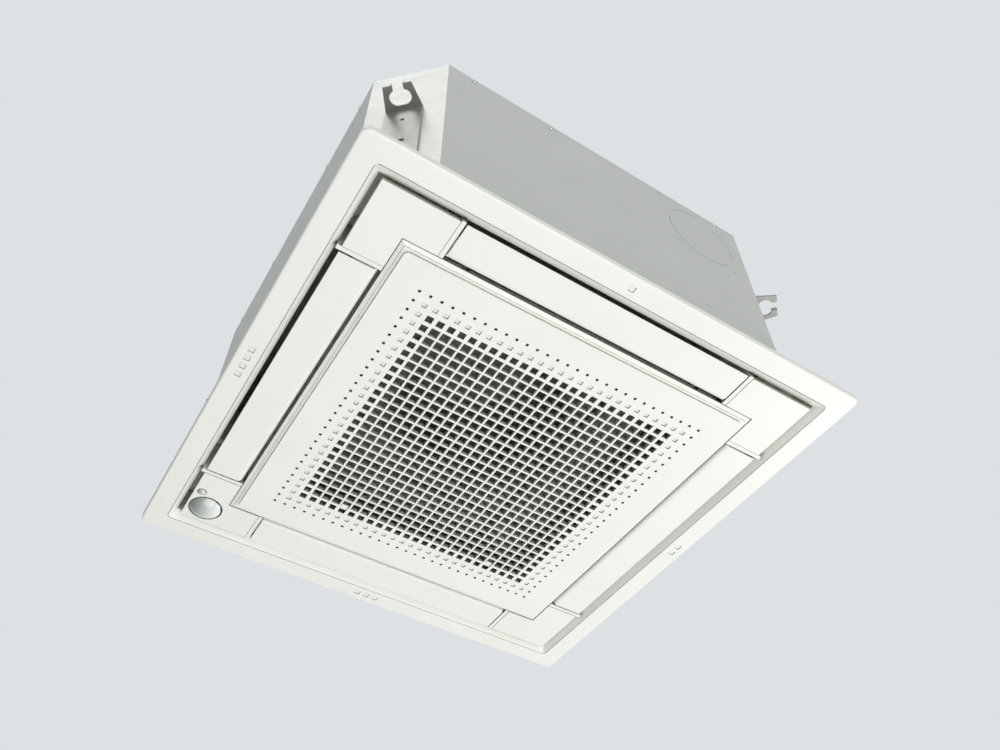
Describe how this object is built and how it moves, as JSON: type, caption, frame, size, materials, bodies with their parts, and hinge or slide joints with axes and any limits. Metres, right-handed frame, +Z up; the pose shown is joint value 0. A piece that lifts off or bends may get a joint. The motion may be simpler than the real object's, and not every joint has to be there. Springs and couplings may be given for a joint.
{
  "type": "ceiling cassette air conditioner",
  "caption": "Square four-way ceiling cassette indoor unit with flush panel, tilting outlet flaps, hinged square-hole suction grille, turbo fan, ring coil and forked hanger tabs.",
  "frame": {"origin": "centre of the square panel at the ceiling line, on the fan axis", "axes": "+Z up along the fan axis; +X and +Y square to the panel sides; the sensor corner is at -X +Y; the grille hinges at -Y"},
  "size_m": [0.62, 0.62, 0.314],
  "materials": {
    "panel_white": "satin moulded ABS",
    "grille_white": "satin moulded ABS",
    "dark_clear": "pearl smoked cover",
    "zinc_steel": "galvanised sheet",
    "steel_fix": "zinc plated",
    "foam_white": "expanded foam",
    "foam_dark": "closed cell foam strip",
    "black_plastic": "moulded",
    "white_plastic": "moulded",
    "fin_aluminium": "rolled fin stock",
    "copper_tube": "drawn copper",
    "brass_nut": "forged and turned",
    "rubber_black": "moulded",
    "board_green": "laminate board",
    "net_dark": "woven net",
    "motor_steel": "pressed can"
  },
  "bodies": {
    "unit": {"panel_frame": "panel_white", "suction_frame": "panel_white", "ceiling_gasket": "foam_dark", "corner_cover_fl": "panel_white", "corner_cover_fr": "panel_white", "corner_cover_br": "panel_white", "corner_cover_bl": "panel_white", "sensor_dome": "dark_clear", "sensor_lens": "dark_clear", "flap_motor_front": "motor_steel", "flap_motor_left": "motor_steel", "flap_motor_back": "motor_steel", "flap_motor_right": "motor_steel", "panel_screws": "steel_fix", "body_seal": "foam_dark", "casing_wrap": "zinc_steel", "top_plate": "zinc_steel", "side_liner": "foam_white", "top_liner": "foam_white", "drain_pan": "foam_white", "bell_mouth": "white_plastic", "fan_motor": "motor_steel", "motor_mounts": "rubber_black", "motor_bracket": "zinc_steel", "coil_fins": "fin_aluminium", "coil_tubes": "copper_tube", "coil_end_plates": "zinc_steel", "gas_pipe": "copper_tube", "liquid_pipe": "copper_tube", "gas_flare_nut": "brass_nut", "liquid_flare_nut": "brass_nut", "pipe_plate": "zinc_steel", "drain_pump": "white_plastic", "pump_bracket": "zinc_steel", "float_stem": "white_plastic", "drain_hose": "rubber_black", "drain_socket": "white_plastic", "control_box": "zinc_steel", "control_cover": "zinc_steel", "control_board": "board_green", "terminal_block": "black_plastic", "hanger_fl": "zinc_steel", "hanger_fr": "zinc_steel", "hanger_br": "zinc_steel", "hanger_bl": "zinc_steel", "casing_screws": "steel_fix"},
    "flap_front": {"flap_front": "panel_white"},
    "flap_right": {"flap_right": "panel_white"},
    "flap_back": {"flap_back": "panel_white"},
    "flap_left": {"flap_left": "panel_white"},
    "grille_door": {"grille": "grille_white", "filter_frame": "black_plastic", "filter_mesh": "net_dark"},
    "latch_left": {"latch_left": "grille_white"},
    "latch_right": {"latch_right": "grille_white"},
    "fan": {"turbo_fan": "white_plastic", "motor_shaft": "steel_fix", "fan_nut": "steel_fix"},
    "impeller": {"pump_impeller": "black_plastic"},
    "float": {"float_ball": "black_plastic"}
  },
  "joints": [
    {"name": "flap_front_tilt", "type": "hinge", "parent": "unit", "child": "flap_front", "pos_m": [0, -0.2342, 0.0002], "axis": [1, 0, 0], "range_deg": [0, 60]},
    {"name": "flap_right_tilt", "type": "hinge", "parent": "unit", "child": "flap_right", "pos_m": [0.2342, 0, 0.0002], "axis": [0, 1, 0], "range_deg": [0, 60]},
    {"name": "flap_back_tilt", "type": "hinge", "parent": "unit", "child": "flap_back", "pos_m": [0, 0.2342, 0.0002], "axis": [-1, 0, 0], "range_deg": [0, 60]},
    {"name": "flap_left_tilt", "type": "hinge", "parent": "unit", "child": "flap_left", "pos_m": [-0.2342, 0, 0.0002], "axis": [0, -1, 0], "range_deg": [0, 60]},
    {"name": "grille_hinge", "type": "hinge", "parent": "unit", "child": "grille_door", "pos_m": [0, -0.212, -0.0035], "axis": [-1, 0, 0], "range_deg": [0, 90]},
    {"name": "latch_left_slide", "type": "slide", "parent": "grille_door", "child": "latch_left", "axis": [0, -1, 0], "range_m": [0, 0.004], "stiffness_N_per_m": 200, "springref_m": -0.003},
    {"name": "latch_right_slide", "type": "slide", "parent": "grille_door", "child": "latch_right", "axis": [0, -1, 0], "range_m": [0, 0.004], "stiffness_N_per_m": 200, "springref_m": -0.003},
    {"name": "fan_spin", "type": "hinge", "parent": "unit", "child": "fan", "pos_m": [0, 0, 0.2], "axis": [0, 0, 1], "continuous": true},
    {"name": "pump_spin", "type": "hinge", "parent": "unit", "child": "impeller", "pos_m": [0.226, 0.206, 0.06], "axis": [0, 0, 1], "continuous": true},
    {"name": "float_rise", "type": "slide", "parent": "unit", "child": "float", "axis": [0, 0, 1], "range_m": [0, 0.015]}
  ]
}
